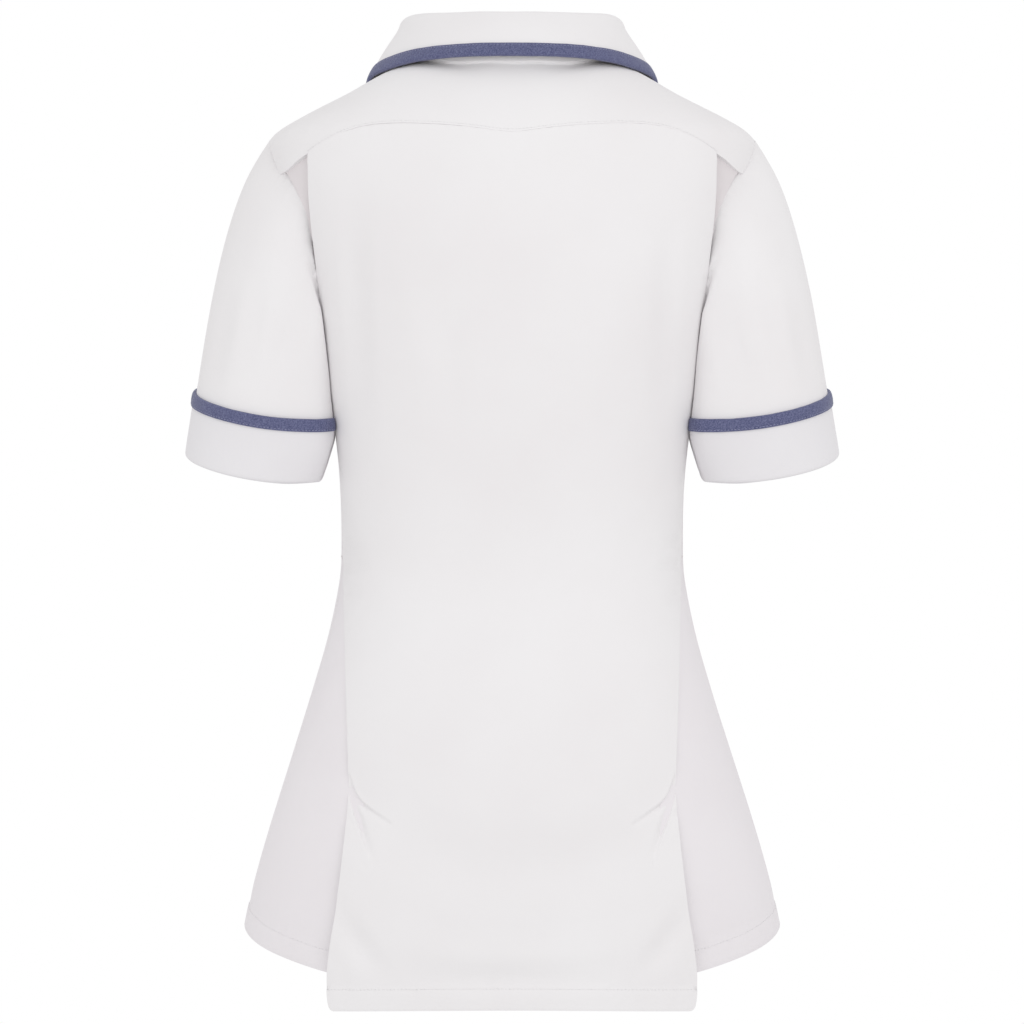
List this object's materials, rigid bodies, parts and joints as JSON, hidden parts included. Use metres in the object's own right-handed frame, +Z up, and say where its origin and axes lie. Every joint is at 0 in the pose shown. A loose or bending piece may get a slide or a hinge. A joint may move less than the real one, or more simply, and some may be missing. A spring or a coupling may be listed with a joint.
{
  "type": "medical tunic",
  "caption": "Women's white medical tunic with blue binding on collar and cuffs, scalloped back yoke, action pleats and a vented back flap, filled out as worn.",
  "frame": {"origin": "on the centre line at the height where the neck meets the shoulders, where the wearer's shoulders hold the tunic up (mount wearer)", "axes": "+Z up, -Y the way the wearer faces, +X the wearer's left; the picture looks at the back, along -Y"},
  "size_m": [0.5322, 0.2726, 0.7876],
  "materials": {
    "white_twill": "matt white polyester and cotton twill, lightly pressed",
    "blue_binding": "matt slate blue twill binding, edge stitched",
    "button": "white four-hole shirt button, soft sheen"
  },
  "bodies": {
    "root": {"back_panel": "white_twill", "yoke": "white_twill", "front_left": "white_twill", "front_right": "white_twill", "pleat_left": "white_twill", "pleat_right": "white_twill", "sleeve_left": "white_twill", "sleeve_right": "white_twill", "cuff_left": "white_twill", "cuff_right": "white_twill", "cuff_band_left": "blue_binding", "cuff_band_right": "blue_binding", "collar": "white_twill", "collar_band": "blue_binding", "button_1": "button", "button_2": "button", "button_3": "button", "button_4": "button", "button_5": "button", "button_6": "button"}
  },
  "joints": []
}
